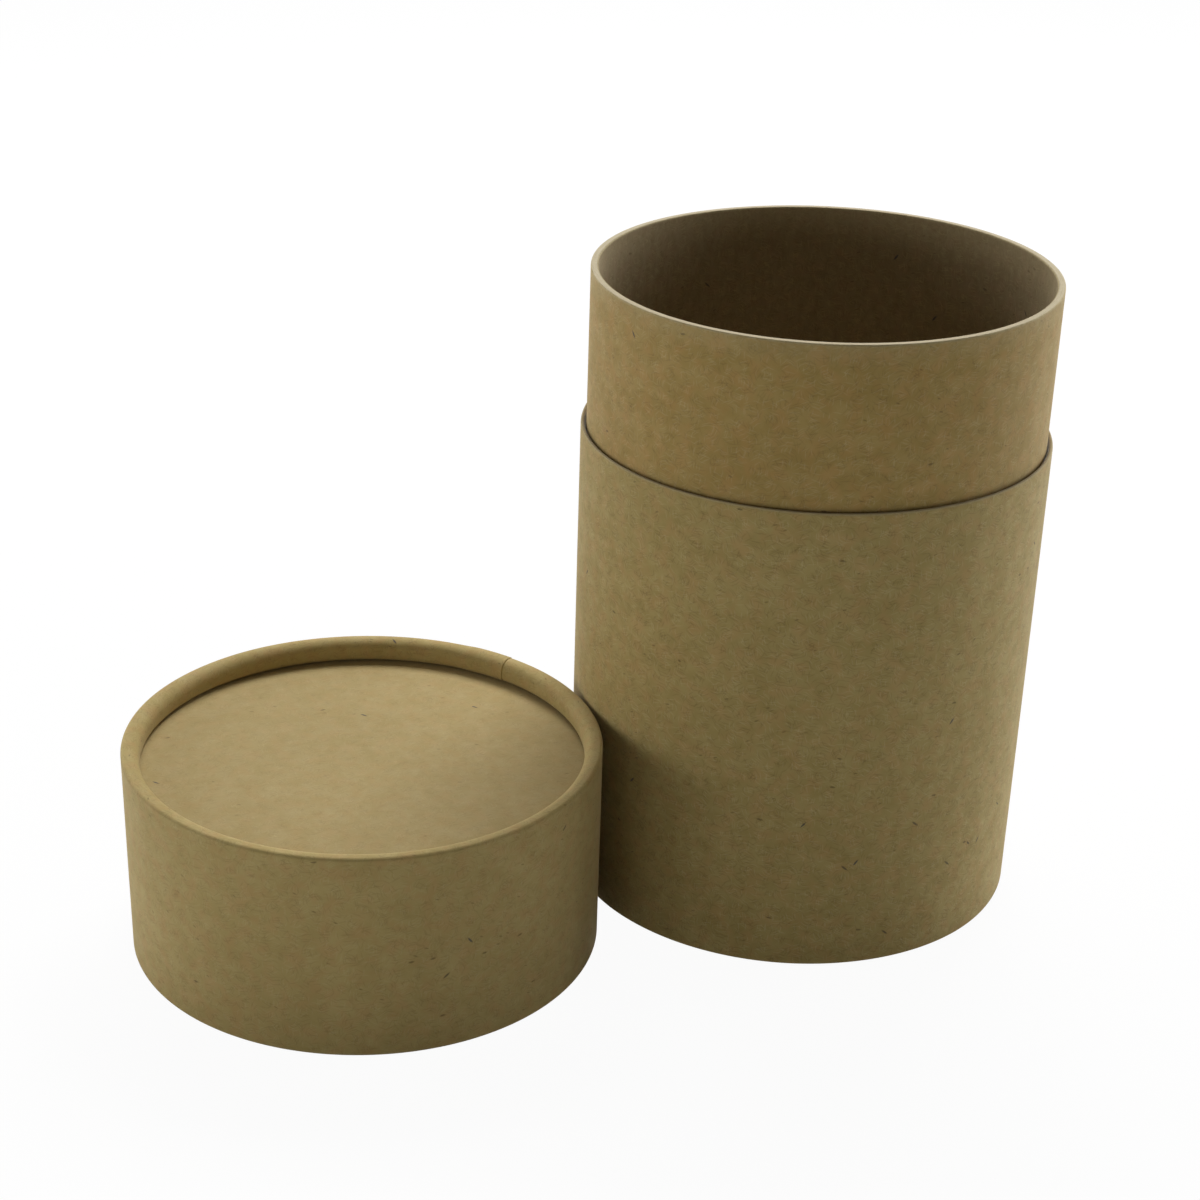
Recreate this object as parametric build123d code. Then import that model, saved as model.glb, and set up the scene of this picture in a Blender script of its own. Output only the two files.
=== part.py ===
from build123d import *
from dataclasses import dataclass
from math import degrees
import os

# A round gift box of wound kraft board, standing open with its lid beside it.
# Lengths are millimetres, angles are degrees, +Z is up and the floor is at zero.
# The foot of the box and the top of the lid are rolled ends: the wrapped tube wall turns
# in on itself and comes back to press on a board disc. Each paper and board is a piece.

# Stock: the boards of the box's tubes, of the lid's tube and of the discs, the kraft paper
# on all of them, the card inside the lid, and the film of glue behind a lining
board_t = 1.15
lid_board_t = 0.9
disc_board_t = 1.5
paper_t = 0.2
lid_liner_t = 0.5
glue_t = 0.05

# Box: outside of the wrap, floor to shoulder, and the neck that shows above it
body_outer_r = 50.0
body_height = 104.5
neck_show = 33.9
neck_slack = 0.1

# Lid: its height, its slack over the neck's lap, and its gap to the box that it stands beside
lid_height = 46.0
lid_slack = 0.1
lid_stand_gap = 0.5

# Rolled ends: the space left between the two legs of each roll, and how deep the discs lie.
# Stiff board doesn't bend in a true arc there, but in short flats with a crease between them,
# and at the hollow it folds in one
foot_hollow = 0.5
rim_hollow = 1.7
recess_depth = 5.1
roll_flat_count = 3
core_flat_count = 1
outer_round_share = 0.3
inner_round_share = 0.36
core_round_share = 0.06

# Cut ends of the board have worn corners, and the papers stop where the wear begins
wear_share = 0.3

# Discs
disc_gap = 0.1

# A wrap's end lies over its own start, and is glued down into it by a share of the paper.
# The free edge stands at the seam's angle, seen from above
lap_width = 9.0
lap_rise = 3.0
lap_feather_share = 0.1
lap_root_share = 0.5
body_seam_angle = 70.0
neck_seam_angle = 85.0
lid_seam_angle = 32.0

# The edges of the lining inside a tube meet, and leave a fine open seam in its face
seam_width = 0.3
seam_depth_share = 0.5
neck_liner_seam_angle = 243.0
lid_liner_seam_angle = 200.0

# Radii that follow, from the box outwards and inwards
full_turn = 360.0
half_turn = full_turn / 2
lap_root = lap_root_share * paper_t
body_bore_r = body_outer_r - paper_t - board_t
neck_board_r = body_bore_r - neck_slack
neck_outer_r = neck_board_r + paper_t
neck_board_bore_r = neck_board_r - board_t
neck_bore_r = neck_board_bore_r - glue_t - paper_t
lid_bore_r = neck_outer_r + paper_t + lid_slack
lid_board_bore_r = lid_bore_r + lid_liner_t + glue_t
lid_outer_r = lid_board_bore_r + lid_board_t + paper_t

# Heights that follow
neck_top = body_height + neck_show
disc_stack_t = paper_t + disc_board_t + paper_t
floor_height = recess_depth + disc_stack_t

# Places: the set is centred over the origin, with the lid on -X of the box
stand_distance = body_outer_r + lid_stand_gap + lid_outer_r
box_x = (stand_distance + lid_outer_r - body_outer_r) / 2
lid_x = box_x - stand_distance


@dataclass(frozen=True)
class RolledTube:
    """A wrapped board tube with its rolled end down: its outside, its board, its roll's hollow.

    The wrap's lap follows the roll, or else it is pressed flat there, as under a foot, and
    starts above it. Its free edge stands at the seam's angle and the lap runs on in the
    sense of turning, 1 or -1.
    """

    outer_r: float
    height: float
    board_t: float
    hollow: float
    seam_angle: float
    sense: int
    lap_over_roll: bool

    def roll_width(self):
        """The width of the roll, from the outside of the wrap to its inside."""
        return 2 * (self.board_t + paper_t) + self.hollow

    def paper_top(self):
        """The height where the wrap and the lining stop, at the wear of the cut end."""
        return self.height - wear_share * self.board_t


body = RolledTube(body_outer_r, body_height, board_t, foot_hollow, body_seam_angle, 1, False)
lid = RolledTube(lid_outer_r, lid_height, lid_board_t, rim_hollow, -lid_seam_angle, -1, True)


def turned(section, angle):
    """Stands a section, drawn as radius across and height up, at an angle about the axis."""
    return Rot(0, 0, angle) * (Plane.XZ * section)


def round_the_axis(section, start=0, arc=full_turn):
    """Sweeps a section round the axis, from an angle and over an arc."""
    return revolve(turned(section, start), Axis.Z, arc)


def band(near, far):
    """The section between two lines that run side by side."""
    return make_face([*near.edges(), *far.edges(), Line(near @ 0, far @ 0), Line(near @ 1, far @ 1)])


def straight_wall(inner_r, thickness, low, high):
    """The section of a plain tube wall between two heights."""
    outer_r = inner_r + thickness
    return band(Line((inner_r, low), (inner_r, high)), Line((outer_r, low), (outer_r, high)))


def creased(line, flats):
    """A line with each of its rounds laid in so many flats."""
    points = [line @ 0]
    for edge in line.edges():
        steps = flats if edge.geom_type == GeomType.CIRCLE else 1
        points += [edge @ (step / steps) for step in range(1, steps + 1)]
    return Polyline(*points)


def rolled_line(tube, inset, straight_end):
    """The line of a rolled end in section, at a depth below the tube's outer face."""
    outer_r = tube.outer_r - inset
    inner_r = tube.outer_r - tube.roll_width() + inset
    least_round = core_round_share * tube.roll_width()
    outer_round = max(outer_round_share * tube.roll_width() - inset, least_round)
    inner_round = max(inner_round_share * tube.roll_width() - inset, least_round)
    rounded = FilletPolyline(
        (outer_r, straight_end),
        (outer_r, inset),
        (inner_r, inset),
        (inner_r, recess_depth),
        radius=(outer_round, inner_round),
    )
    return creased(rounded, roll_flat_count if inset <= paper_t else core_flat_count)


def rolled_wall(tube, near, far, straight_end):
    """The section of a rolled end's layer, from one depth below its outer face to another."""
    return band(rolled_line(tube, near, straight_end), rolled_line(tube, far, straight_end))


def worn_end(section, thickness):
    """Wears off the two corners of a board's upper cut end."""
    return chamfer(section.vertices().group_by(Axis.Y)[-1], wear_share * thickness)


def rolled_board(tube):
    """The board of a tube with one rolled end and one cut end."""
    section = rolled_wall(tube, paper_t, paper_t + tube.board_t, tube.height)
    return round_the_axis(worn_end(section, tube.board_t))


def lap(doubled, radius, free_angle, sense):
    """The strip where a wrap's end lies on its own start.

    doubled gives the strip's section for a thickness. The strip runs from its free edge, in
    the given sense of turning, and then sinks to the wrap over the rise.
    """
    far_angle = free_angle + sense * degrees(lap_width / radius)
    sunk_angle = far_angle + sense * degrees(lap_rise / radius)
    full = doubled(paper_t)
    feather = doubled(lap_feather_share * paper_t)
    strip = round_the_axis(full, min(free_angle, far_angle), abs(far_angle - free_angle))
    return strip + loft([turned(full, far_angle), turned(feather, sunk_angle)], ruled=True)


def rolled_wrap(tube):
    """The kraft wrap of a tube with a rolled end, from its cut end round the roll to the disc."""
    top = tube.paper_top()
    above_the_roll = outer_round_share * tube.roll_width()

    def doubled(thickness):
        if tube.lap_over_roll:
            return rolled_wall(tube, -thickness, lap_root, top)
        return straight_wall(tube.outer_r - lap_root, lap_root + thickness, above_the_roll, top)

    sheet = round_the_axis(rolled_wall(tube, 0, paper_t, top))
    return sheet + lap(doubled, tube.outer_r, tube.seam_angle, tube.sense)


def neck_board():
    """The board of the neck, which stands on the base disc and has a worn top edge."""
    section = straight_wall(neck_board_bore_r, board_t, floor_height, neck_top)
    return round_the_axis(worn_end(section, board_t))


def neck_paper_top():
    """The height where the neck's wrap and lining stop, at the wear of its cut end."""
    return neck_top - wear_share * board_t


def neck_kraft():
    """The wrap of the neck, from the shoulder up, with its lap."""

    def doubled(thickness):
        inner_r = neck_outer_r - lap_root
        return straight_wall(inner_r, lap_root + thickness, body_height, neck_paper_top())

    sheet = round_the_axis(straight_wall(neck_board_r, paper_t, body_height, neck_paper_top()))
    return sheet + lap(doubled, neck_outer_r, neck_seam_angle, 1)


def liner(inner_r, thickness, high, seam_angle):
    """The lining inside a tube, from the disc up, with the open seam where its edges meet."""
    arc = degrees(seam_width / inner_r)
    depth = seam_depth_share * thickness
    seam = straight_wall(inner_r - thickness, thickness + depth, floor_height, high)
    sheet = round_the_axis(straight_wall(inner_r, thickness, floor_height, high))
    return sheet - round_the_axis(seam, seam_angle - arc / 2, arc)


def disc(radius, thickness, low):
    """A flat round piece of board or paper."""
    return Pos(0, 0, low) * Cylinder(radius, thickness, align=(Align.CENTER, Align.CENTER, Align.MIN))


def box_pieces():
    """Every piece of the box, about its own axis with its foot on the floor."""
    disc_r = body_bore_r - disc_gap
    return {
        "body_tube": rolled_board(body),
        "body_wrap": rolled_wrap(body),
        "base_facing": disc(disc_r, paper_t, recess_depth),
        "base_disc": disc(disc_r, disc_board_t, recess_depth + paper_t),
        "base_lining": disc(disc_r, paper_t, floor_height - paper_t),
        "neck_tube": neck_board(),
        "neck_wrap": neck_kraft(),
        "neck_liner": liner(neck_bore_r, paper_t, neck_paper_top(), neck_liner_seam_angle),
    }


def lid_pieces():
    """Every piece of the lid, with its rolled end down: turning it over flips its angles."""
    disc_r = lid_board_bore_r - disc_gap
    return {
        "lid_tube": rolled_board(lid),
        "lid_wrap": rolled_wrap(lid),
        "lid_facing": disc(disc_r, paper_t, recess_depth),
        "lid_disc": disc(disc_r, disc_board_t, recess_depth + paper_t),
        "lid_lining": disc(disc_r, paper_t, floor_height - paper_t),
        "lid_liner": liner(lid_bore_r, lid_liner_t, lid.paper_top(), -lid_liner_seam_angle),
    }


os.makedirs("parts", exist_ok=True)
box_place = Pos(box_x, 0, 0)
lid_place = Pos(lid_x, 0, lid_height) * Rot(half_turn, 0, 0)
for name, shape in box_pieces().items():
    export_step(box_place * shape, f"parts/{name}.step")
for name, shape in lid_pieces().items():
    export_step(lid_place * shape, f"parts/{name}.step")
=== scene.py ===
import logging
import math
from collections.abc import Callable
from dataclasses import dataclass, replace
from enum import Enum

import bmesh
import bpy
from bpy.types import Material, Node, NodeSocket, NodeTree, Object, Texture
from mathutils import Matrix, Vector
from mathutils.kdtree import KDTree


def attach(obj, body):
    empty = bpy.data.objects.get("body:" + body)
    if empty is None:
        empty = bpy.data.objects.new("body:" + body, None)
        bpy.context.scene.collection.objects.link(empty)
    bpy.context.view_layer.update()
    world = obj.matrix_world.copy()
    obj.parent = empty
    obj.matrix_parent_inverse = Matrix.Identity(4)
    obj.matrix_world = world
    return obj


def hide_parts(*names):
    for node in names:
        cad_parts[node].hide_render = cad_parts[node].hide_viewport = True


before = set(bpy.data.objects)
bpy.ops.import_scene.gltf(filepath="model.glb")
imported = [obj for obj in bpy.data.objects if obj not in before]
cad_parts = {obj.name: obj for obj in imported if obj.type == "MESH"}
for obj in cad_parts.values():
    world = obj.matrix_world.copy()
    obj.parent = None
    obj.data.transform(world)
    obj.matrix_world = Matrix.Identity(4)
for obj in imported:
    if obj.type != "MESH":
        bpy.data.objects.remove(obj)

# A round gift box of wound kraft board, open, with its lid standing beside it.
# Sections are drawn in millimetres, as radius and height, and turned about the axis of the box
# or of the lid. Blender's own unit is the metre.

LOG = logging.getLogger("gift_tube")
MM = 0.001
FULL_TURN = 2 * math.pi
PAPER_T = 0.2
SHEET_UV = "sheet"

# Points of a section that lie nearer than this, in mm, are one
SAME_POINT = 1e-4

# How far the back of a paper stops short of its worn end, in mm
BACK_DROP = 0.05

# Faces that meet at less than this, in degrees, are shaded as one
SHARP_ANGLE = 38

# A round of paper: steps about it, rings in it, and in mm the ring at its cut and how far the
# sheet reaches beyond the frame's origin
ROUND_STEPS, ROUND_RINGS = 256, 12
CUT_RING, SHEET_CORNER = 0.05, 200

# Numbers of the Mix node's sockets for colours, whose names all kinds of value share
MIX_SHARE, MIX_FIRST, MIX_SECOND, MIX_RESULT = 0, 6, 7, 2

Point = tuple[float, float]
Line = list[Point]
Span = tuple[float, float]


class Face(Enum):
    """The face of a flat piece that shows."""

    UPPER = 1
    UNDER = -1


def linear(colour: str) -> tuple[float, float, float, float]:
    """Turns an sRGB hex colour to the linear red, green, blue and alpha that a socket takes."""
    parts = [int(colour[i:i + 2], 16) / 255 for i in (1, 3, 5)]
    return (*(p / 12.92 if p <= 0.04045 else ((p + 0.055) / 1.055) ** 2.4 for p in parts), 1.0)


def add_node(
    tree: NodeTree, kind: str, inputs: dict | None = None, **settings: object
) -> Node:
    """Adds one node, sets it and feeds it.

    Args:
        tree: the nodes of a material or of the world
        kind: the node's type, without the ShaderNode that they all start with
        inputs: for each input, by name or number, a plain value, another node's output or
            another node, which stands for its first output
        settings: the node's own properties

    Returns:
        The new node.
    """
    node = tree.nodes.new(f"ShaderNode{kind}")
    for name, value in settings.items():
        setattr(node, name, value)
    for socket, value in (inputs or {}).items():
        if isinstance(value, Node):
            value = value.outputs[0]
        if isinstance(value, NodeSocket):
            tree.links.new(value, node.inputs[socket])
        else:
            node.inputs[socket].default_value = value
    return node


def empty_material(name: str) -> Material:
    """Makes a material of a name, with no nodes in it."""
    material = bpy.data.materials.new(name)
    material.use_nodes = True
    material.node_tree.nodes.clear()
    return material


def finish(
    tree: NodeTree, ground: str, layers: list[tuple[Node, str]], height: Node, relief: Span, looks: dict
) -> None:
    """Ends a material: lays colours over its ground, and gives it a relief and a shader.

    Args:
        tree: the material's nodes
        ground: the colour under all others, sRGB hex
        layers: for each colour over it, the node that says where it shows, and the colour
        height: the node that draws the relief
        relief: the relief's strength, and its depth in mm
        looks: the shader's other inputs
    """
    colour = linear(ground)
    for there, tint in layers:
        colour = add_node(tree, "Mix", {
            MIX_SHARE: there, MIX_FIRST: colour, MIX_SECOND: linear(tint),
        }, data_type="RGBA").outputs[MIX_RESULT]
    strength, depth = relief
    bump = add_node(tree, "Bump", {"Height": height, "Strength": strength, "Distance": depth * MM})
    shader = add_node(tree, "BsdfPrincipled", {"Base Color": colour, "Normal": bump, "IOR": 1.5, **looks})
    add_node(tree, "OutputMaterial", {0: shader})


@dataclass(frozen=True)
class Fibres:
    """One lot of fibres that lie about one way in a sheet.

    Attributes:
        lie: their direction in degrees from the sheet's run
        length: the longest, in mm
        width: in mm. Real ones are 0.03 mm, too fine to show, so they are drawn coarser
        share: how many of the places that could hold a fibre do
        colour: sRGB hex
        strength: how far the fibre hides the sheet
        stiff: whether they are splinters of wood, which lie straight
    """

    lie: float
    length: float
    width: float
    share: float
    colour: str
    strength: float
    stiff: bool = False


@dataclass(frozen=True)
class UncoatedKraft:
    """Unbleached sack kraft paper, machine-made and uncoated.

    It gives the eye a warm brown sheet, cloudy where the pulp lies thicker, with short fibres
    a little darker and paler than the sheet, a rare dark shive, and a soft bloom at a
    glancing angle where loose fibre ends catch the light.

    Attributes:
        name: the material's name
        sheet: the colour of the sheet, sRGB hex
        thick: where the pulp lies thick
        thin: where it lies thin
        warm: what the sheet leans to in patches, where the pulp holds more bark
        grain: how much longer than high the clouds are, over 1 along the run of the sheet
        cloudiness: how far the clouds take the sheet to thick and thin
        patchiness: how far the patches take it to warm
        fibre_show: how far the fibres stand out, 1 for a plain sheet
        shive_count: how many shives there are, 1 for a plain sheet
    """

    name: str
    sheet: str
    thick: str
    thin: str
    warm: str = "#b08b57"
    grain: float = 1.3
    cloudiness: float = 0.5
    patchiness: float = 0.4
    fibre_show: float = 1.0
    shive_count: float = 1.0

    # A cut or rubbed edge, the painted shadow beside a lap's free edge, and the bloom
    rubbed = "#b3a379"
    lap_shadow = "#4a3a20"
    bloom = "#e8dcc0"

    # In mm: the clouds, the slow drift between thick and thin, the patches, the bends of the
    # fibres and how far they reach, the fuzz of a rubbed edge, and the felt's tooth, which is
    # really 0.2 mm apart and drawn at twice that so that it shows
    cloud_size = 4.5
    drift_size = 34.0
    patch_size = 3.4
    bend_size = 4.0
    bend_reach = 1.6
    fuzz_size = 0.8
    tooth_size = 0.42

    drift_share = 0.35
    roughness = (0.74, 0.86)
    fibres = (
        Fibres(12, 4.2, 0.42, 0.30, "#6e5a34", 0.26),
        Fibres(58, 3.4, 0.40, 0.26, "#75613a", 0.24),
        Fibres(-33, 3.6, 0.42, 0.28, "#705c36", 0.24),
        Fibres(-71, 3.0, 0.40, 0.22, "#6a5732", 0.24),
        Fibres(31, 3.4, 0.36, 0.26, "#c5b482", 0.20),
        Fibres(-12, 3.8, 0.36, 0.26, "#c3b280", 0.20),
        Fibres(84, 2.8, 0.36, 0.22, "#c7b786", 0.18),
    )
    shives = (
        Fibres(40, 3.2, 0.8, 0.0016, "#3d372f", 0.75, stiff=True),
        Fibres(-52, 3.0, 0.8, 0.0014, "#2f333d", 0.80, stiff=True),
        Fibres(8, 2.2, 0.9, 0.0030, "#4f3d24", 0.60, stiff=True),
        Fibres(-20, 1.6, 0.6, 0.0070, "#57452a", 0.45, stiff=True),
    )

    def lots(self) -> list[Fibres]:
        """Gives every lot of fibres and shives as this paper shows them."""
        faint = [replace(lot, strength=lot.strength * self.fibre_show) for lot in self.fibres]
        return [*faint, *(replace(lot, share=lot.share * self.shive_count) for lot in self.shives)]

    def material(self) -> Material:
        """Builds the paper's nodes on the sheet's own run and height, in mm.

        Returns:
            The material.
        """
        made = empty_material(self.name)
        tree = made.node_tree
        sheet = add_node(tree, "UVMap", uv_map=SHEET_UV)
        clouds = add_node(tree, "Mapping", {
            "Vector": sheet, "Scale": (self.cloud_size * self.grain, self.cloud_size, 1),
        }, vector_type="TEXTURE")
        pulp, drift, patches, bends, fuzz, tooth = (
            add_node(tree, "TexNoise", {
                "Vector": place, "Scale": 1 / size, "Detail": detail, "Roughness": roughness,
            }, noise_dimensions="2D")
            for place, size, detail, roughness in (
                (clouds, 1.0, 5.0, 0.62),
                (sheet, self.drift_size, 2.0, 0.5),
                (sheet, self.patch_size, 1.0, 0.5),
                (sheet, self.bend_size, 2.0, 0.5),
                (sheet, self.fuzz_size, 4.0, 0.5),
                (sheet, self.tooth_size, 3.0, 0.6),
            )
        )

        # The sheet is cloudy, and its hue wanders between olive and brown
        layers = []
        for noise, near, far, share, tint in (
            (pulp, 0.45, 0.75, self.cloudiness, self.thick),
            (pulp, 0.55, 0.28, self.cloudiness, self.thin),
            (drift, 0.35, 0.65, self.drift_share, self.thick),
            (patches, 0.42, 0.72, self.patchiness, self.warm),
        ):
            layers.append((add_node(tree, "MapRange", {
                "Value": noise, "From Min": near, "From Max": far, "To Max": share,
            }), tint))

        # A fibre fills a cell of a Voronoi texture that is stretched along its lie
        bent = add_node(tree, "VectorMath", {
            0: bends.outputs["Color"], 1: (self.bend_reach, self.bend_reach, 0.0), 2: sheet,
        }, operation="MULTIPLY_ADD")
        raised = 0.0
        for lot in self.lots():
            lying = add_node(tree, "Mapping", {
                "Vector": sheet if lot.stiff else bent, "Rotation": (0, 0, math.radians(lot.lie)),
                "Location": (lot.lie, lot.length * lot.lie, 0), "Scale": (lot.length, lot.width, 1),
            }, vector_type="TEXTURE")
            cell = add_node(tree, "TexVoronoi", {"Vector": lying, "Scale": 1.0}, voronoi_dimensions="2D")
            fibre = add_node(tree, "MapRange", {
                "Value": cell.outputs["Distance"], "From Min": 0.36, "From Max": 0.16,
            })
            draw = add_node(tree, "SeparateColor", {0: cell.outputs["Color"]})
            held = add_node(tree, "Math", {0: draw, 1: lot.share}, operation="LESS_THAN")
            for weight in (held, lot.strength):
                fibre = add_node(tree, "Math", {0: fibre, 1: weight}, operation="MULTIPLY")
            layers.append((fibre, lot.colour))
            raised = add_node(tree, "Math", {0: raised, 1: fibre}, operation="MAXIMUM")

        # A cut or rubbed edge is paler and furry, and a painted shadow darkens the sheet beside a lap's
        # free edge
        patchy = add_node(tree, "MapRange", {
            "Value": fuzz, "From Min": 0.3, "From Max": 0.6, "To Min": 0.45,
        })
        for name, weight, tint in (("worn", patchy, self.rubbed), ("painted_lap_shadow", 1.0, self.lap_shadow)):
            marked = add_node(tree, "Attribute", attribute_name=name).outputs["Fac"]
            layers.append((add_node(tree, "Math", {0: marked, 1: weight}, operation="MULTIPLY"), tint))

        height = tooth
        for part, weight in ((raised, 0.8), (pulp, 1.2)):
            height = add_node(tree, "Math", {0: part, 1: weight, 2: height}, operation="MULTIPLY_ADD")
        matt = add_node(tree, "MapRange", {
            "Value": pulp, "From Min": 0.3, "From Max": 0.7,
            "To Min": self.roughness[0], "To Max": self.roughness[1],
        })
        finish(tree, self.sheet, layers, height, (0.35, 0.06), {
            "Roughness": matt, "Specular IOR Level": 0.35, "Sheen Weight": 0.2,
            "Sheen Roughness": 0.45, "Sheen Tint": linear(self.bloom),
        })
        return made


@dataclass(frozen=True)
class WoundBoard:
    """Wound recycled board, cut square and worn round by use.

    The cut shows pale felted plies a quarter of a millimetre thick, as fine lines that run
    round the wall, broken where the knife dragged fibres over them.

    Attributes:
        name: the material's name
        ply: the colour of a ply, sRGB hex
        joint: the glue between two plies
    """

    name: str
    ply: str = "#bcae8c"
    joint: str = "#8f7f5a"

    # The dust in the felt, and in mm a ply's thickness, how long the line of a joint is, and
    # the size of the dragged tufts
    soil = "#a3926a"
    ply_t = 0.26
    line_length = 6.0
    tuft_size = 0.7

    def material(self) -> Material:
        """Builds the board's nodes on the sheet's run and height, in mm.

        Returns:
            The material.
        """
        made = empty_material(self.name)
        tree = made.node_tree
        sheet = add_node(tree, "UVMap", uv_map=SHEET_UV)
        along = add_node(tree, "Mapping", {
            "Vector": sheet, "Scale": (self.line_length, self.ply_t, 1),
        }, vector_type="TEXTURE")
        plies = add_node(tree, "TexNoise", {
            "Vector": along, "Scale": 1.0, "Detail": 3.0, "Roughness": 0.55,
        }, noise_dimensions="2D")
        tufts = add_node(tree, "TexNoise", {
            "Vector": sheet, "Scale": 1 / self.tuft_size, "Detail": 5.0, "Roughness": 0.65,
        }, noise_dimensions="2D")
        lines, unbroken, darkened = (
            add_node(tree, "MapRange", {
                "Value": noise, "From Min": near, "From Max": far, "To Max": share,
            })
            for noise, near, far, share in (
                (plies, 0.52, 0.68, 0.6), (tufts, 0.62, 0.40, 1.0), (tufts, 0.45, 0.8, 0.5),
            )
        )
        joints = add_node(tree, "Math", {0: lines, 1: unbroken}, operation="MULTIPLY")
        height = add_node(tree, "Math", {0: plies, 1: tufts}, operation="ADD")
        finish(tree, self.ply, [(joints, self.joint), (darkened, self.soil)], height, (0.5, 0.08), {
            "Roughness": 0.9, "Specular IOR Level": 0.25, "Sheen Weight": 0.25, "Sheen Roughness": 0.5,
        })
        return made


@dataclass(frozen=True)
class DieCutBoard:
    """Grey-brown chipboard, punched out with a steel rule die.

    Its faces are under paper, and its edge shows a crumbly felt with specks of old print.

    Attributes:
        name: the material's name
        felt: the colour of the pulp, sRGB hex
        speck: the colour of its specks
        felt_size: of its crumbs, in mm
        speck_gap: from one speck to the next
    """

    name: str
    felt: str = "#a3987c"
    speck: str = "#6b6350"
    felt_size: float = 1.5
    speck_gap: float = 1.2

    def material(self) -> Material:
        """Builds the board's nodes on Object coordinates.

        Returns:
            The material.
        """
        made = empty_material(self.name)
        tree = made.node_tree
        place = add_node(tree, "TexCoord").outputs["Object"]
        felt = add_node(tree, "TexNoise", {
            "Vector": place, "Scale": 1 / (self.felt_size * MM), "Detail": 5.0, "Roughness": 0.7,
        })
        specks = add_node(tree, "TexVoronoi", {"Vector": place, "Scale": 1 / (self.speck_gap * MM)})
        crumbs, dots = (
            add_node(tree, "MapRange", {
                "Value": texture, "From Min": near, "From Max": far, "To Max": share,
            })
            for texture, near, far, share in ((felt, 0.45, 0.75, 0.5), (specks, 0.22, 0.12, 0.6))
        )
        there = add_node(tree, "Math", {0: crumbs, 1: dots}, operation="MAXIMUM")
        finish(tree, self.felt, [(there, self.speck)], felt, (0.6, 0.1), {
            "Roughness": 0.92, "Specular IOR Level": 0.2,
        })
        return made


def rounded(corners: Line, rounds: list[float], steps: int) -> Line:
    """Lays a true round in each inner corner of a line.

    Args:
        corners: the line's points, as radius and height
        rounds: a radius for each point but the first and the last
        steps: how many straight steps make a round

    Returns:
        The points of the rounded line.
    """
    line = [corners[0]]
    for before, corner, after, radius in zip(corners, corners[1:], corners[2:], rounds):
        here = Vector(corner)
        back = (Vector(before) - here).normalized()
        on = (Vector(after) - here).normalized()
        half = back.angle(on) / 2
        start = here + back * radius / math.tan(half)
        centre = here + (back + on).normalized() * radius / math.sin(half)
        sweep = math.pi - 2 * half
        turn = math.copysign(1, back.x * on.y - back.y * on.x)
        for step in range(steps + 1):
            spoke = Matrix.Rotation(-turn * sweep * step / steps, 2) @ (start - centre)
            line.append(tuple(centre + spoke))
    return [*line, corners[-1]]


def crown(wall: Span, radii: Span, top: float, rise: float, steps: int, fullness: float = 2.0) -> Line:
    """Draws a part of a worn wall end, which is rounded across the whole wall.

    Args:
        wall: the inner and outer radius of the whole wall, with its papers
        radii: where the part starts and where it ends
        top: the height of the end
        rise: how far the wear reaches down; less than zero where the end is a lower one
        steps: how many straight steps it takes
        fullness: 2 for half an ellipse, more for a flatter end with tighter corners

    Returns:
        The points of the part.
    """
    middle, half = (wall[0] + wall[1]) / 2, (wall[1] - wall[0]) / 2
    line = []
    for step in range(steps + 1):
        radius = radii[0] + (radii[1] - radii[0]) * step / steps
        bend = max(0.0, 1 - abs((radius - middle) / half) ** fullness) ** (1 / fullness)
        line.append((radius, top - rise + rise * bend))
    return line


def upright(radius: float, start: float, end: float, rows: int) -> Line:
    """Draws a straight wall from one height to another, in rows that let it wave a little."""
    return [(radius, start + (end - start) * row / rows) for row in range(rows + 1)]


def join(*lines: Line) -> Line:
    """Joins lines end to end and leaves out points that repeat."""
    made: Line = []
    for point in (p for line in lines for p in line):
        if not made or math.dist(point, made[-1]) > SAME_POINT:
            made.append(point)
    return made


def push(piece: Object, group: str, depth: float, texture: Texture | None = None) -> None:
    """Moves a group of vertices out along their normals, by a Displace modifier.

    Args:
        piece: the piece
        group: its vertex group
        depth: how far in mm, below zero for inwards
        texture: where given, the depth is what its white takes
    """
    modifier = piece.modifiers.new("push", "DISPLACE")
    modifier.strength = depth * MM
    modifier.mid_level = 0.0
    modifier.vertex_group = group
    if texture is not None:
        modifier.texture = texture
        modifier.texture_coords = "LOCAL"
    bpy.context.view_layer.objects.active = piece
    bpy.ops.object.modifier_apply(modifier=modifier.name)


@dataclass(frozen=True)
class Wave:
    """The soft waves of a wall or a disc that isn't quite true.

    Attributes:
        name: of their cloud texture
        length: from one wave to the next, in mm
        depth: how far they reach in, in mm
    """

    name: str
    length: float
    depth: float

    def press(self, piece: Object) -> None:
        """Presses the waves into what shows of a piece."""
        texture = bpy.data.textures.new(self.name, "CLOUDS")
        texture.noise_scale = self.length * MM
        texture.noise_depth = 1
        push(piece, "shown", -self.depth, texture)


def mark(piece: Object, name: str, share: Callable[[Vector], float]) -> None:
    """Writes a number from 0 to 1 on each vertex, for the material to read.

    Args:
        piece: the piece
        name: the attribute's name
        share: gives the number for a place in metres
    """
    attribute = piece.data.attributes.new(name, "FLOAT", "POINT")
    for vertex in piece.data.vertices:
        attribute.data[vertex.index].value = share(vertex.co)


def fade(value: float, near: float, far: float) -> float:
    """Gives 1 at near and nearer, 0 at far and beyond, and between them in proportion."""
    return min(1.0, max(0.0, (far - value) / (far - near)))


def settle() -> None:
    """Ends the editing of a piece, with its normals outward and its origin on the frame's."""
    bpy.ops.mesh.select_all(action="SELECT")
    bpy.ops.mesh.normals_make_consistent(inside=False)
    bpy.ops.object.mode_set(mode="OBJECT")
    bpy.ops.object.transform_apply(location=True, rotation=True, scale=True)


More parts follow.
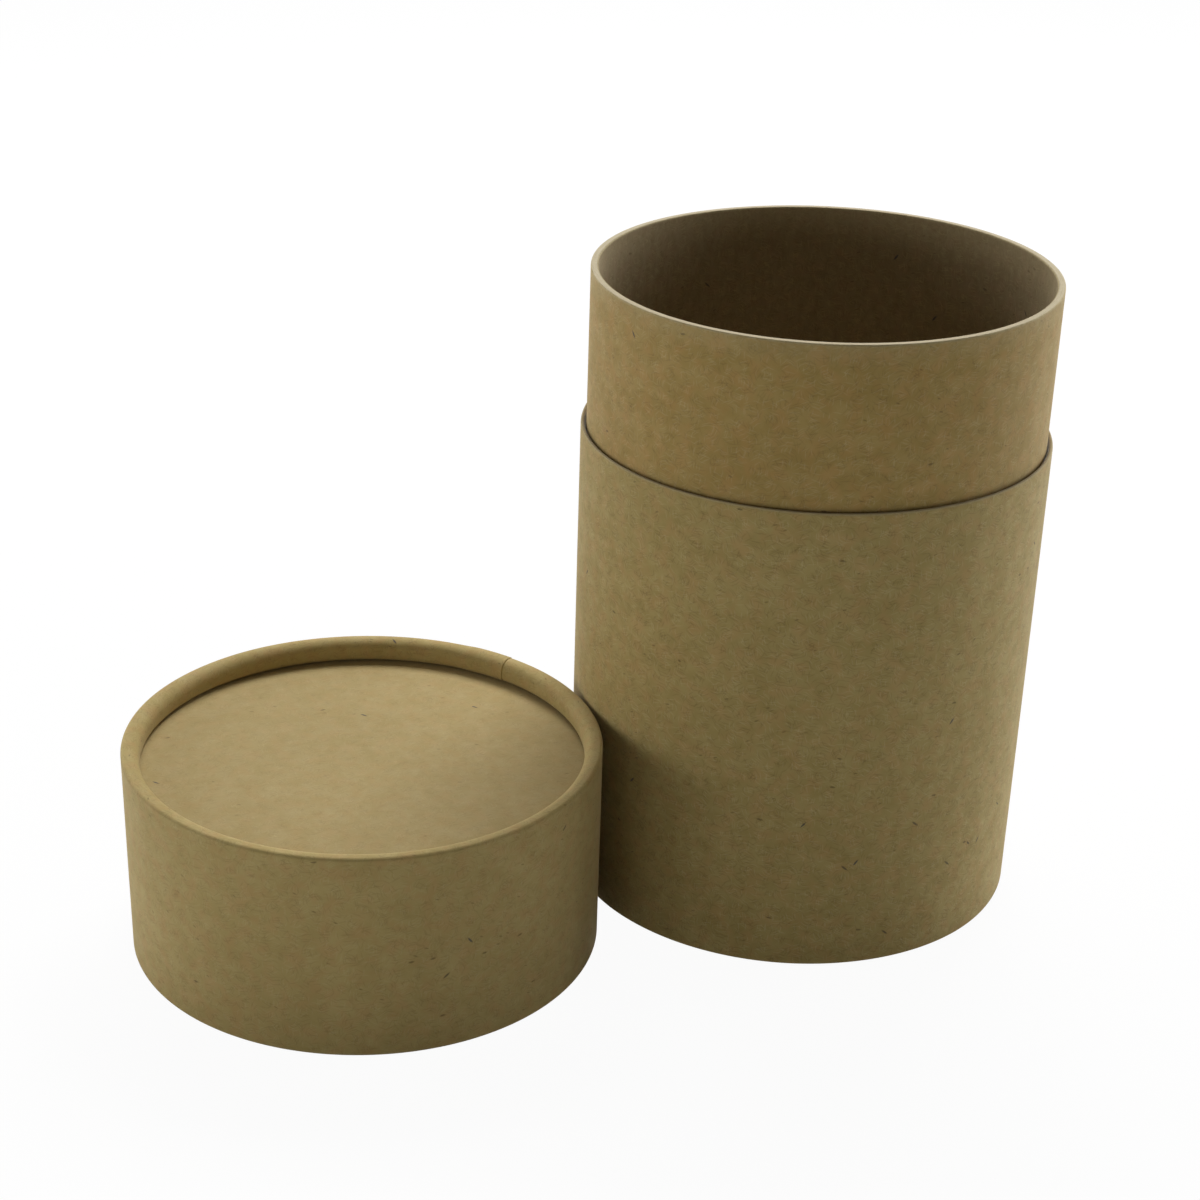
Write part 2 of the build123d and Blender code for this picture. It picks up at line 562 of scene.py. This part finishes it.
@dataclass(frozen=True)
class Lathe:
    """Turns sections about an upright axis, anticlockwise from the free edge of the sheet.

    Attributes:
        axis_x: where the axis stands on X, in mm
        edge_angle: where the sheet's free edge stands, in degrees
    """

    axis_x: float
    edge_angle: float

    # Steps in the turn, and the finer ones in a short arc on both sides of the free edge. The
    # gap between the sheet's start and its end is closed last. Both are in mm
    columns = 300
    fine_columns = 6
    fine_arc = 0.9
    edge_gap = 0.03

    # A place that is short of the free edge by less than this share of a turn lies on it
    edge_slip = 3e-5

    # Points that the turn leaves double lie nearer than this, in metres
    weld = 1e-7

    # How far from its seam, in mm, a lining is sunk in full, and where that stops
    seam_reach = (0.1, 0.3)

    def stand(self, point: Point) -> Vector:
        """Gives the place of a section's point at the free edge, in metres."""
        angle = math.radians(self.edge_angle)
        across = Vector((math.cos(angle), math.sin(angle), 0)) * point[0]
        return (Vector((self.axis_x, 0, point[1])) + across) * MM

    def radius(self, place: Vector) -> float:
        """Gives the distance in mm from the axis to a place in metres."""
        return math.hypot(place.x - self.axis_x * MM, place.y) / MM

    def run(self, place: Vector) -> float:
        """Gives how far round from the free edge a place in metres lies, as a share of the turn."""
        angle = math.atan2(place.y, place.x - self.axis_x * MM) - math.radians(self.edge_angle)
        share = (angle / FULL_TURN) % 1
        return 0.0 if share > 1 - self.edge_slip else share

    def turn(self, name: str, shown: Line, hidden: Line) -> Object:
        """Turns a closed section into a ring, with a step where the free edge stands.

        Args:
            name: the piece's name
            shown: the side of the section that shows
            hidden: the side behind it, in the same direction

        Returns:
            The ring, with its run and height as the sheet UV map and the group "shown".
        """
        section = [*shown, *reversed(hidden)]
        places = [self.stand(point) for point in section]
        bpy.ops.mesh.primitive_plane_add(size=PAPER_T * MM, location=places[0])
        ring = bpy.context.object
        ring.name = ring.data.name = name
        bpy.ops.object.mode_set(mode="EDIT")
        bpy.ops.mesh.merge(type="CENTER")
        for place, after in zip(places, places[1:]):
            bpy.ops.mesh.extrude_vertices_move(TRANSFORM_OT_translate={"value": after - place})
        mesh = bmesh.from_edit_mesh(ring.data)
        mesh.verts.ensure_lookup_table()
        mesh.verts[0].select = mesh.verts[-1].select = True
        bpy.ops.mesh.edge_face_add()
        bpy.ops.mesh.select_all(action="SELECT")
        reach = max(point[0] for point in section)
        fine = (self.fine_columns, self.fine_arc / reach)
        plain = (self.columns, FULL_TURN - 2 * fine[1] - self.edge_gap / reach)
        for steps, angle in (fine, plain, fine):
            bpy.ops.mesh.spin(steps=steps, angle=angle, center=(self.axis_x * MM, 0, 0), axis=(0, 0, 1))
        mesh = bmesh.from_edit_mesh(ring.data)
        mesh.verts.ensure_lookup_table()
        for vertex in mesh.verts[:len(section)]:
            vertex.select = True
        mesh.select_flush(True)
        bpy.ops.mesh.bridge_edge_loops()
        bpy.ops.mesh.select_all(action="SELECT")
        bpy.ops.mesh.remove_doubles(threshold=self.weld)
        settle()
        self.lay_out(ring, section, len(shown))
        return ring

    def lay_out(self, ring: Object, section: Line, shown: int) -> None:
        """Writes the sheet's run and height in mm as a UV map, and groups what shows.

        Args:
            ring: the turned piece
            section: its closed section
            shown: how many of the section's points show
        """
        tree = KDTree(len(section))
        for index, point in enumerate(section):
            tree.insert((*point, 0), index)
        tree.balance()
        heights = [0.0]
        for before, after in zip(section, section[1:]):
            heights.append(heights[-1] + math.dist(before, after))
        reach = FULL_TURN * max(point[0] for point in section)
        places = [vertex.co for vertex in ring.data.vertices]
        found = [tree.find((self.radius(place), place.z / MM, 0))[1] for place in places]
        runs = [self.run(place) * reach for place in places]
        layer = ring.data.uv_layers.new(name=SHEET_UV)
        for face in ring.data.polygons:
            far = max(runs[v] for v in face.vertices)
            for loop in face.loop_indices:
                vertex = ring.data.loops[loop].vertex_index
                run = far if far - runs[vertex] > reach / 2 else runs[vertex]
                layer.data[loop].uv = (run, heights[found[vertex]])
        group = ring.vertex_groups.new(name="shown")
        group.add([v for v, index in enumerate(found) if index < shown], 1.0, "REPLACE")

    def weigh(self, ring: Object, name: str, share: Callable[[float, float], float]) -> None:
        """Adds a vertex group to what shows, with a weight that depends on the run and the height.

        Args:
            ring: the turned piece
            name: the group's name
            share: gives the weight for a run from the free edge, negative short of it, and a
                height, both in mm
        """
        shown = ring.vertex_groups["shown"].index
        group = ring.vertex_groups.new(name=name)
        for vertex in ring.data.vertices:
            if any(member.group == shown for member in vertex.groups):
                run = self.run(vertex.co)
                run = (run if run < 0.5 else run - 1) * FULL_TURN * self.radius(vertex.co)
                group.add([vertex.index], share(run, vertex.co.z / MM), "REPLACE")

    def open_seam(self, sheet: Object, depth: float) -> None:
        """Sinks the line where the two edges of a lining meet to a depth in mm."""
        self.weigh(sheet, "seam", lambda run, _: fade(abs(run), *self.seam_reach))
        push(sheet, "seam", -depth)


def wear(piece: Object, end: float, reach: Span) -> None:
    """Marks a paper as rubbed bare up to one distance from its cut end, and whole from another."""
    mark(piece, "worn", lambda place: fade(abs(place.z / MM - end), *reach))


def hand_over(piece: Object, material: Material, body: str, node: str) -> None:
    """Shades and dresses a finished piece, puts it for its CAD node and reports it.

    Args:
        piece: the piece
        material: its finish
        body: the CAD body that it rides on
        node: the CAD node that it stands for
    """
    bpy.ops.object.select_all(action="DESELECT")
    piece.select_set(True)
    bpy.context.view_layer.objects.active = piece
    bpy.ops.object.shade_smooth_by_angle(angle=math.radians(SHARP_ANGLE))
    piece.data.materials.append(material)
    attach(piece, body)
    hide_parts(node)
    piece.data.calc_loop_triangles()
    LOG.info("%s: %d triangles, for %s", piece.name, len(piece.data.loop_triangles), node)


def paper_round(name: str, axis_x: float, radius: float, low: float, shows: Face) -> Object:
    """Cuts a round of paper, with rings enough to follow a board that isn't flat.

    Args:
        name: the piece's name
        axis_x: its centre on X, in mm
        radius: in mm
        low: the height of its underside, in mm
        shows: which of its faces shows

    Returns:
        The round, with its place in mm as the sheet UV map and the group "shown".
    """
    hidden = low if shows is Face.UPPER else low + PAPER_T
    rise = shows.value * PAPER_T
    ring = radius / ROUND_RINGS
    bpy.ops.mesh.primitive_circle_add(
        vertices=ROUND_STEPS, radius=radius * MM, fill_type="NGON",
        location=(axis_x * MM, 0, hidden * MM),
    )
    disc = bpy.context.object
    disc.name = disc.data.name = name
    bpy.ops.object.mode_set(mode="EDIT")
    bpy.ops.mesh.extrude_region_move(TRANSFORM_OT_translate={"value": (0, 0, rise * MM)})
    for width in (CUT_RING, *[ring] * (ROUND_RINGS - 1)):
        bpy.ops.mesh.inset(thickness=width * MM)
    bpy.ops.mesh.poke()
    settle()
    layer = disc.data.uv_layers.new(name=SHEET_UV)
    for loop in disc.data.loops:
        place = disc.data.vertices[loop.vertex_index].co / MM
        layer.data[loop.index].uv = (place.x + SHEET_CORNER, place.y + SHEET_CORNER)
    inner = []
    for vertex in disc.data.vertices:
        place = vertex.co / MM
        reach = math.hypot(place.x - axis_x, place.y)
        if abs(place.z - hidden - rise) < PAPER_T / 4 and reach < radius - ring:
            inner.append(vertex.index)
    disc.vertex_groups.new(name="shown").add(inner, 1.0, "REPLACE")
    return disc


@dataclass(frozen=True)
class RolledEnd:
    """A tube end that turns in on itself and comes back to press on a disc, drawn foot down.

    Attributes:
        outer_r: outside of the wrap
        board_t: the tube's board
        width: from the outside of the roll to its inside
        recess: how deep the disc lies
        outer_round, inner_round, curl_round: of the wrap's face
        curl_reach: how far the curl runs back under the roll
        curl_gap: the height of the dark slit between the curl and the disc
    """

    outer_r: float
    board_t: float
    width: float
    recess: float
    outer_round: float
    inner_round: float
    curl_round: float = 0.75
    curl_reach: float = 0.95
    curl_gap: float = 0.08

    least_round = 0.12
    least_core_round = 0.2

    def face(self, inset: float, straight_end: float, steps: int, rows: int = 1) -> Line:
        """Draws the roll at a depth below the wrap's face, from the tube's wall to its curl.

        Args:
            inset: the depth in mm
            straight_end: the height where the line starts on the wall
            steps: steps in each round
            rows: steps in the wall

        Returns:
            The line.
        """
        outer, inner = self.outer_r - inset, self.outer_r - self.width + inset
        leg = self.recess - self.curl_gap - inset
        curl_end = (self.outer_r - self.width + self.curl_reach, leg)
        corners = [(outer, straight_end), (outer, inset), (inner, inset), (inner, leg), curl_end]
        rounds = (self.outer_round, self.inner_round, self.curl_round)
        line = rounded(corners, [max(size - inset, self.least_round) for size in rounds], steps)
        return [*upright(outer, straight_end, line[1][1], rows)[:-1], *line[1:]]

    def core(self, straight_end: float, steps: int) -> Line:
        """Draws the hollow side of the board, down to the cut end of its leg.

        Args:
            straight_end: the height where the line starts on the wall
            steps: steps in each round

        Returns:
            The line.
        """
        inset = PAPER_T + self.board_t
        outer, inner = self.outer_r - inset, self.outer_r - self.width + inset
        leg_end = (inner, self.recess - self.curl_gap - 2 * PAPER_T)
        corners = [(outer, straight_end), (outer, inset), (inner, inset), leg_end]
        rounds = (self.outer_round, self.inner_round)
        return rounded(corners, [max(size - inset, self.least_core_round) for size in rounds], steps)


@dataclass
class Wrap:
    """The lap that closes a glued wrap: its end lies over its own start.

    Attributes:
        width: how far it lies over, in mm
        feather: how far it then takes to sink to the sheet
        rise: how far it stands proud
        press: how far the sheet beside its free edge is pressed in
        low: the height where it starts
        high: the height of the sheet's cut end, near which it sinks to the sheet
        dark: how dark the painted shadow beside the free edge is, from 0 to 1
    """

    width: float = 9.0
    feather: float = 3.0
    rise: float = PAPER_T
    press: float = 0.1
    low: float = -9.0
    high: float = 999.0
    dark: float = 0.5

    # In mm: how far from the cut end the lap starts to sink and is sunk, and over what height
    # it rises at its low end
    cut_reach = (0.7, 0.2)
    low_rise = 2.0

    # How far from the free edge, in mm, the press and the painted shadow are full, and where they stop
    pressed_reach = (0.1, 0.4)
    lap_shadow_reach = (0.05, 0.25)

    def close(self, lathe: Lathe, sheet: Object) -> None:
        """Raises the lap by the paper's thickness, and presses the sheet beside its edge.

        Args:
            lathe: what turned the sheet
            sheet: the sheet
        """
        lathe.weigh(sheet, "lap", self.lift)
        lathe.weigh(sheet, "pressed", lambda run, _: fade(-run, *self.pressed_reach) if run < 0 else 0.0)
        push(sheet, "lap", self.rise)
        push(sheet, "pressed", -self.press)
        # Paints a shadow, as a darker colour, on the sheet beside the lap's free edge
        mark(sheet, "painted_lap_shadow", lambda place: self.lap_shadow(lathe, place))

    def lift(self, run: float, height: float) -> float:
        """Gives how far the lap is raised at a run and a height.

        Args:
            run: from the free edge, negative short of it, in mm
            height: in mm

        Returns:
            From 0 to 1.
        """
        if run < 0:
            return 0.0
        along = fade(run, self.width, self.width + self.feather)
        above = fade(-height, -self.low - self.low_rise, -self.low)
        below = fade(height, *(self.high - reach for reach in self.cut_reach))
        return along * above * below

    def lap_shadow(self, lathe: Lathe, place: Vector) -> float:
        """Gives the strength of the painted shadow beside the free edge at a place, from 0 to 1."""
        short = (1 - lathe.run(place)) * FULL_TURN * lathe.radius(place)
        return self.dark * fade(short, *self.lap_shadow_reach)


@dataclass
class TubeBody:
    """The box's body: a wrapped tube with a rolled foot, and the disc that closes it.

    Attributes:
        axis_x: its axis on X, in mm as all that follows
        height: of the cut end, which is the shoulder
        bore_r: inside of the board
        roll: the rolled foot
        edge_wear: how far down its cut end is worn
        mouth_r, mouth_depth: the board's inner edge, opened by the lid, and how far down
        disc_r, disc_lows: the disc's two papers and the heights of their undersides
        worn_reach: how far from the cut end the wrap is bare, and where the wear stops
        wave, floor_wave: of the wall and of the floor inside
        seam_angle: of the wrap's free edge, in degrees
    """

    axis_x: float = 50.95
    height: float = 104.5
    bore_r: float = 48.65
    roll: RolledEnd = RolledEnd(50.0, 1.15, 3.2, 5.1, 0.96, 1.15)
    edge_wear: float = 0.75
    mouth_r: float = 49.12
    mouth_depth: float = 1.6
    disc_r: float = 48.55
    disc_lows: Span = (5.1, 6.8)
    worn_reach: Span = (0.2, 0.5)
    wave: Wave = Wave("body_wall", 40, 0.12)
    floor_wave: Wave = Wave("base_board", 30, 0.12)
    seam_angle: float = 70.0

    # In mm: the height where the lap starts, and how far below the wear the roll's line does
    lap_low = 1.0
    wall_start = 0.4

    def build(self, kraft: Material, lining: Material, board: Material) -> None:
        """Makes the body's pieces.

        Args:
            kraft: the wrap's paper
            lining: the paper on the floor inside
            board: the tube's board
        """
        lathe = Lathe(self.axis_x, self.seam_angle)
        wall = (self.mouth_r, self.roll.outer_r)
        paper_r = self.roll.outer_r - PAPER_T
        start = self.height - self.edge_wear - self.wall_start
        end = crown(wall, (paper_r, self.roll.outer_r), self.height, self.edge_wear, steps=5)
        face = self.roll.face(0, start, steps=8, rows=14)
        back = self.roll.face(PAPER_T, start, steps=8, rows=14)
        hidden = join([(paper_r, end[0][1] - BACK_DROP)], back)
        wrap = lathe.turn("body_wrap_paper", join(end, face), hidden)
        Wrap(low=self.lap_low, high=self.height).close(lathe, wrap)
        self.wave.press(wrap)
        wear(wrap, self.height, self.worn_reach)
        hand_over(wrap, kraft, "box", "body_wrap")

        edge = crown(wall, (self.mouth_r, paper_r), self.height, self.edge_wear, steps=10)
        mouth = (self.bore_r, self.height - self.mouth_depth)
        outside = self.roll.face(PAPER_T, start, steps=5)[:-1]
        core = self.roll.core(mouth[1], steps=3)
        tube = lathe.turn("body_tube_board", join([mouth], edge, outside), core)
        hand_over(tube, board, "box", "body_tube")

        under, over = self.disc_lows
        facing = paper_round("base_facing_paper", self.axis_x, self.disc_r, under, Face.UNDER)
        hand_over(facing, kraft, "box", "base_facing")
        floor = paper_round("base_lining_paper", self.axis_x, self.disc_r, over, Face.UPPER)
        self.floor_wave.press(floor)
        hand_over(floor, lining, "box", "base_lining")


@dataclass
class Neck:
    """The inner tube that stands in the body and shows above its shoulder.

    Attributes:
        axis_x: its axis on X, in mm as all that follows
        foot: the height that it stands on, which is the floor inside
        shoulder: the body's cut end
        top: its own cut end
        wall: inside and outside radius with the papers
        board: inside and outside radius without them
        edge_wear: how far down its cut end is worn
        fullness: how square the worn end still is
        tuck: how far the wrap goes down behind the body
        worn_reach: how far from the cut end the papers are bare, and where the wear stops
        wave: of its wall
        seam_angle, liner_seam_angle: of the wrap's free edge and the lining's seam, in degrees
    """

    axis_x: float = 50.95
    foot: float = 7.0
    shoulder: float = 104.5
    top: float = 138.4
    wall: Span = (47.15, 48.75)
    board: Span = (47.4, 48.55)
    edge_wear: float = 0.5
    fullness: float = 5.0
    tuck: float = 0.9
    worn_reach: Span = (0.3, 0.6)
    wave: Wave = Wave("neck_wall", 40, 0.08)
    seam_angle: float = 85.0
    liner_seam_angle: float = 243.0

    # How deep the lining's seam is, in mm
    seam_depth = 0.1

    def build(self, kraft: Material, lining: Material, board: Material) -> None:
        """Makes the neck's pieces.

        Args:
            kraft: the wrap's paper
            lining: the paper inside
            board: the tube's board
        """
        lathe = Lathe(self.axis_x, self.seam_angle)
        (inside, outside), (board_in, board_out) = self.wall, self.board
        low, high = self.shoulder - self.tuck, self.top - self.edge_wear
        end = self.worn_end((outside, board_out), steps=5)
        shown = join(upright(outside, low, high, rows=8), end)
        hidden = [(board_out, low), (board_out, end[-1][1] - BACK_DROP)]
        wrap = lathe.turn("neck_wrap_paper", shown, hidden)
        Wrap(high=self.top).close(lathe, wrap)
        self.wave.press(wrap)
        wear(wrap, self.top, self.worn_reach)
        hand_over(wrap, kraft, "box", "neck_wrap")

        edge = self.worn_end((board_out, board_in), steps=14)
        tube = lathe.turn("neck_tube_board", [(board_out, self.foot), *edge], [(board_in, self.foot)])
        hand_over(tube, board, "box", "neck_tube")

        lathe = Lathe(self.axis_x, self.liner_seam_angle)
        back = inside + PAPER_T
        end = self.worn_end((inside, back), steps=5)
        shown = join(upright(inside, self.foot, high, rows=16), end)
        liner = lathe.turn("neck_liner_paper", shown, [(back, self.foot), (back, end[-1][1] - BACK_DROP)])
        lathe.open_seam(liner, self.seam_depth)
        wear(liner, self.top, self.worn_reach)
        hand_over(liner, lining, "box", "neck_liner")

    def worn_end(self, radii: Span, steps: int) -> Line:
        """Draws the part of the worn cut end between two radii."""
        return crown(self.wall, radii, self.top, self.edge_wear, steps, self.fullness)


@dataclass
class Lid:
    """The lid: a wrapped tube with a rolled rim on top, its disc and its card liner.

    Attributes:
        axis_x: its axis on X, in mm as all that follows
        height: of the rim
        liner: the card's inside and outside radius
        board_r: inside of the board
        roll: the rolled rim
        edge_wear: how far up its cut end is worn
        disc_r, disc_lows: the disc's two papers and the heights of their undersides
        worn_reach: how far from the cut end the papers are bare, and where the wear stops
        wave, disc_wave: of the wall and of the face on top
        seam_angle, liner_seam_angle: of the wrap's free edge and the card's seam, in degrees
    """

    axis_x: float = -50.25
    height: float = 46.0
    liner: Span = (49.05, 49.55)
    board_r: float = 49.6
    roll: RolledEnd = RolledEnd(50.7, 0.9, 3.9, 5.1, 0.85, 2.5, curl_round=1.0, curl_gap=0.25)
    edge_wear: float = 0.35
    disc_r: float = 49.5
    disc_lows: Span = (39.0, 40.7)
    worn_reach: Span = (0.2, 0.5)
    wave: Wave = Wave("lid_wall", 40, 0.12)
    disc_wave: Wave = Wave("lid_board", 36, 0.14)
    seam_angle: float = 32.0
    liner_seam_angle: float = 200.0

    # In mm: how deep the card's seam is, and how far its back stops short of its worn end
    seam_depth = 0.2
    back_rise = 0.1

    def build(self, kraft: Material, facing: Material, lining: Material, board: Material) -> None:
        """Makes the lid's pieces.

        Args:
            kraft: the wrap's paper
            facing: the paper on the disc
            lining: the paper and card inside
            board: the tube's board
        """
        lathe = Lathe(self.axis_x, self.seam_angle)
        wall = (self.liner[0], self.roll.outer_r)
        paper_r = self.roll.outer_r - PAPER_T
        start = self.height - 2 * self.edge_wear
        end = crown(wall, (paper_r, self.roll.outer_r), self.height, self.edge_wear, steps=4)
        face = self.roll.face(0, start, steps=10, rows=8)
        back = self.roll.face(PAPER_T, start, steps=10, rows=8)
        hidden = join([(paper_r, end[0][1] - BACK_DROP)], back)
        wrap = lathe.turn("lid_wrap_paper", self.over(join(end, face)), self.over(hidden))
        Wrap(rise=0.14, press=0.04, dark=0.22).close(lathe, wrap)
        self.wave.press(wrap)
        wear(wrap, 0, self.worn_reach)
        hand_over(wrap, kraft, "lid", "lid_wrap")

        edge = crown(wall, (self.board_r, paper_r), self.height, self.edge_wear, steps=8)
        outside = join(edge, self.roll.face(PAPER_T, start, steps=6)[:-1])
        core = self.roll.core(start, steps=3)
        tube = lathe.turn("lid_tube_board", self.over(outside), self.over(core))
        hand_over(tube, board, "lid", "lid_tube")

        under, over = self.disc_lows
        inside, back = self.liner
        lathe = Lathe(self.axis_x, self.liner_seam_angle)
        end = crown(wall, (back, inside), 0, -self.edge_wear, steps=5)
        shown = join(end, upright(inside, end[-1][1], under, rows=6))
        liner = lathe.turn("lid_liner_card", shown, [(back, end[0][1] + self.back_rise), (back, under)])
        lathe.open_seam(liner, self.seam_depth)
        wear(liner, 0, self.worn_reach)
        hand_over(liner, lining, "lid", "lid_liner")

        top = paper_round("lid_facing_paper", self.axis_x, self.disc_r, over, Face.UPPER)
        self.disc_wave.press(top)
        hand_over(top, facing, "lid", "lid_facing")
        below = paper_round("lid_lining_paper", self.axis_x, self.disc_r, under, Face.UNDER)
        hand_over(below, lining, "lid", "lid_lining")

    def over(self, line: Line) -> Line:
        """Turns a line that is drawn foot down over, so that the rolled end is on top."""
        return [(radius, self.height - level) for radius, level in line]


@dataclass(frozen=True)
class SoftBox:
    """One soft lamp that faces the set.

    Attributes:
        name: the lamp's name
        across: how far to the picture's right it hangs, in metres
        beyond: how far behind the set
        height: above the floor
        size: its width and height
        power: in watts
    """

    name: str
    across: float
    beyond: float
    height: float
    size: Span
    power: float


@dataclass
class Studio:
    """A white sweep under soft light from above, and the camera at the photograph's place.

    Attributes:
        floor_size: in metres
        lens, sensor: the camera's, in mm
        shift: of the lens, as shares of the picture's width
        heading, pitch, roll: how the camera is turned, in degrees
        place: where it stands, in metres
        fill: the strength of the plain light from all sides
        bounce: the floor's colour to all but the camera, sRGB hex
        shadow_share: how much of the lamps' light and shadow shows on the floor's white
        aim: the height that the lamps face, in metres
    """

    floor_size: float = 8.0
    lens: float = 72.943
    sensor: float = 36.0
    shift: Span = (0.04491, 0.11573)
    heading: float = 20.891
    pitch: float = 27.7366
    roll: float = -1.17074
    place: tuple[float, float, float] = (-0.17604, -0.4379, 0.28516)
    fill: float = 0.026
    bounce: str = "#e6e6e6"
    shadow_share: float = 0.045
    aim: float = 0.06

    floor_drop = 0.02
    lamps = (
        SoftBox("left_softbox", -0.2, 0.75, 1.0, (0.5, 0.5), 5.3),
        SoftBox("right_softbox", 0.25, 0.75, 1.0, (0.5, 0.5), 11.2),
        SoftBox("left_panel", -0.91, 0.42, 0.25, (0.8, 0.45), 3.4),
        SoftBox("left_front_panel", -0.95, -0.05, 0.25, (0.7, 0.45), 0.7),
        SoftBox("right_panel", 0.91, 0.42, 0.25, (0.8, 0.45), 5.9),
        SoftBox("left_front_card", -0.6, -0.7, 0.12, (0.8, 0.2), 1.35),
        SoftBox("right_front_card", 0.6, -0.7, 0.12, (0.8, 0.2), 0.25),
    )

    def ahead(self) -> Vector:
        """Gives the level direction that the camera looks in."""
        return Vector((math.sin(math.radians(self.heading)), math.cos(math.radians(self.heading)), 0))

    def across(self) -> Vector:
        """Gives the level direction to the right of the picture."""
        return Vector((self.ahead().y, -self.ahead().x, 0))

    def seen(self, tree: NodeTree) -> Node:
        """Adds the test for rays that show the background itself.

        Args:
            tree: the nodes of the floor or the world

        Returns:
            A node that gives 1 for camera, glossy and transmission rays.
        """
        path = add_node(tree, "LightPath").outputs
        seen = path["Is Camera Ray"]
        for kind in ("Is Glossy Ray", "Is Transmission Ray"):
            seen = add_node(tree, "Math", {0: seen, 1: path[kind]}, operation="MAXIMUM")
        return seen

    def lay_floor(self) -> None:
        """Lays the white floor, which keeps the box's faint shadow."""
        bpy.ops.mesh.primitive_plane_add(size=self.floor_size, location=(0, 0, -self.floor_drop * MM))
        floor = bpy.context.object
        floor.name = "studio_floor"
        paint = empty_material("white_card_sweep")
        tree = paint.node_tree
        glow = add_node(tree, "Emission", {"Color": (1, 1, 1, 1), "Strength": 1.0})
        card = add_node(tree, "BsdfDiffuse", {"Color": linear("#f4f4f4")})
        shown = add_node(tree, "MixShader", {0: self.shadow_share, 1: glow, 2: card})
        bounce = add_node(tree, "BsdfDiffuse", {"Color": linear(self.bounce)})
        mixed = add_node(tree, "MixShader", {0: self.seen(tree), 1: bounce, 2: shown})
        add_node(tree, "OutputMaterial", {0: mixed})
        floor.data.materials.append(paint)

    def light(self) -> None:
        """Sets the world and hangs the lamps."""
        world = bpy.data.worlds.new("studio")
        bpy.context.scene.world = world
        world.use_nodes = True
        tree = world.node_tree
        tree.nodes.clear()
        room = add_node(tree, "Background", {"Color": linear("#fafafa"), "Strength": self.fill})
        white = add_node(tree, "Background", {"Color": (1, 1, 1, 1), "Strength": 1.0})
        mixed = add_node(tree, "MixShader", {0: self.seen(tree), 1: room, 2: white})
        add_node(tree, "OutputWorld", {0: mixed})
        for box in self.lamps:
            self.hang(box)

    def hang(self, box: SoftBox) -> None:
        """Hangs one soft box so that it faces the set."""
        lamp = bpy.data.lights.new(box.name, "AREA")
        lamp.shape = "RECTANGLE"
        lamp.size, lamp.size_y = box.size
        lamp.energy = box.power
        holder = bpy.data.objects.new(box.name, lamp)
        bpy.context.scene.collection.objects.link(holder)
        below = self.across() * box.across + self.ahead() * box.beyond
        holder.location = below + Vector((0, 0, box.height))
        view = Vector((0, 0, self.aim)) - holder.location
        holder.rotation_euler = view.to_track_quat("-Z", "Y").to_euler()

    def set_camera(self) -> None:
        """Stands the camera where circles fitted to the photograph's edges put it."""
        camera = bpy.data.cameras.new("camera")
        camera.sensor_width = self.sensor
        camera.lens = self.lens
        camera.shift_x, camera.shift_y = self.shift
        holder = bpy.data.objects.new("camera", camera)
        bpy.context.scene.collection.objects.link(holder)
        pitch, roll = math.radians(self.pitch), math.radians(self.roll)
        ahead = self.ahead() * math.cos(pitch) - Vector((0, 0, math.sin(pitch)))
        right = self.across()
        down = ahead.cross(right)
        across = math.cos(roll) * right + math.sin(roll) * down
        up = math.sin(roll) * right - math.cos(roll) * down
        turn = Matrix((across, up, -ahead)).transposed()
        holder.matrix_world = Matrix.Translation(self.place) @ turn.to_4x4()
        bpy.context.scene.camera = holder


def main() -> None:
    """Builds the box, its lid and the studio."""
    logging.basicConfig(level=logging.INFO, format="%(name)s %(message)s")
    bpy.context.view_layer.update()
    kraft = UncoatedKraft(
        "outer_kraft_paper", "#a49158", "#96844c", "#ad9b63", cloudiness=0.56, fibre_show=1.12,
    ).material()
    lid_kraft = UncoatedKraft(
        "lid_kraft_paper", "#ac985f", "#9e8b53", "#b5a26a", cloudiness=0.4, fibre_show=0.75,
    ).material()
    yellower = UncoatedKraft(
        "neck_kraft_paper", "#a1894d", "#927a41", "#ab9358", warm="#b0874e",
    ).material()
    facing = UncoatedKraft(
        "disc_kraft_paper", "#a6925f", "#998653", "#ae9b69", grain=1.0, cloudiness=0.17,
        patchiness=0.2, fibre_show=0.5, shive_count=0.25,
    ).material()
    lining = UncoatedKraft(
        "lining_kraft_paper", "#92815f", "#847351", "#9b8a68", warm="#9a7e60", grain=0.35,
    ).material()
    board = WoundBoard("wound_kraft_board").material()
    # The body's cut end takes a darker copy of the board
    darkened = WoundBoard("darker_kraft_board", "#a08f66", "#77673f").material()
    punched = DieCutBoard("punched_chipboard").material()
    TubeBody().build(kraft, lining, darkened)
    Neck().build(yellower, lining, board)
    Lid().build(lid_kraft, facing, lining, board)
    for node in ("base_disc", "lid_disc"):
        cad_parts[node].material_slots[0].material = punched
        LOG.info("%s: CAD node in punched board", node)
    studio = Studio()
    studio.lay_floor()
    studio.light()
    studio.set_camera()
    bpy.context.scene.view_settings.view_transform = "Standard"


if __name__ == "__main__":
    main()
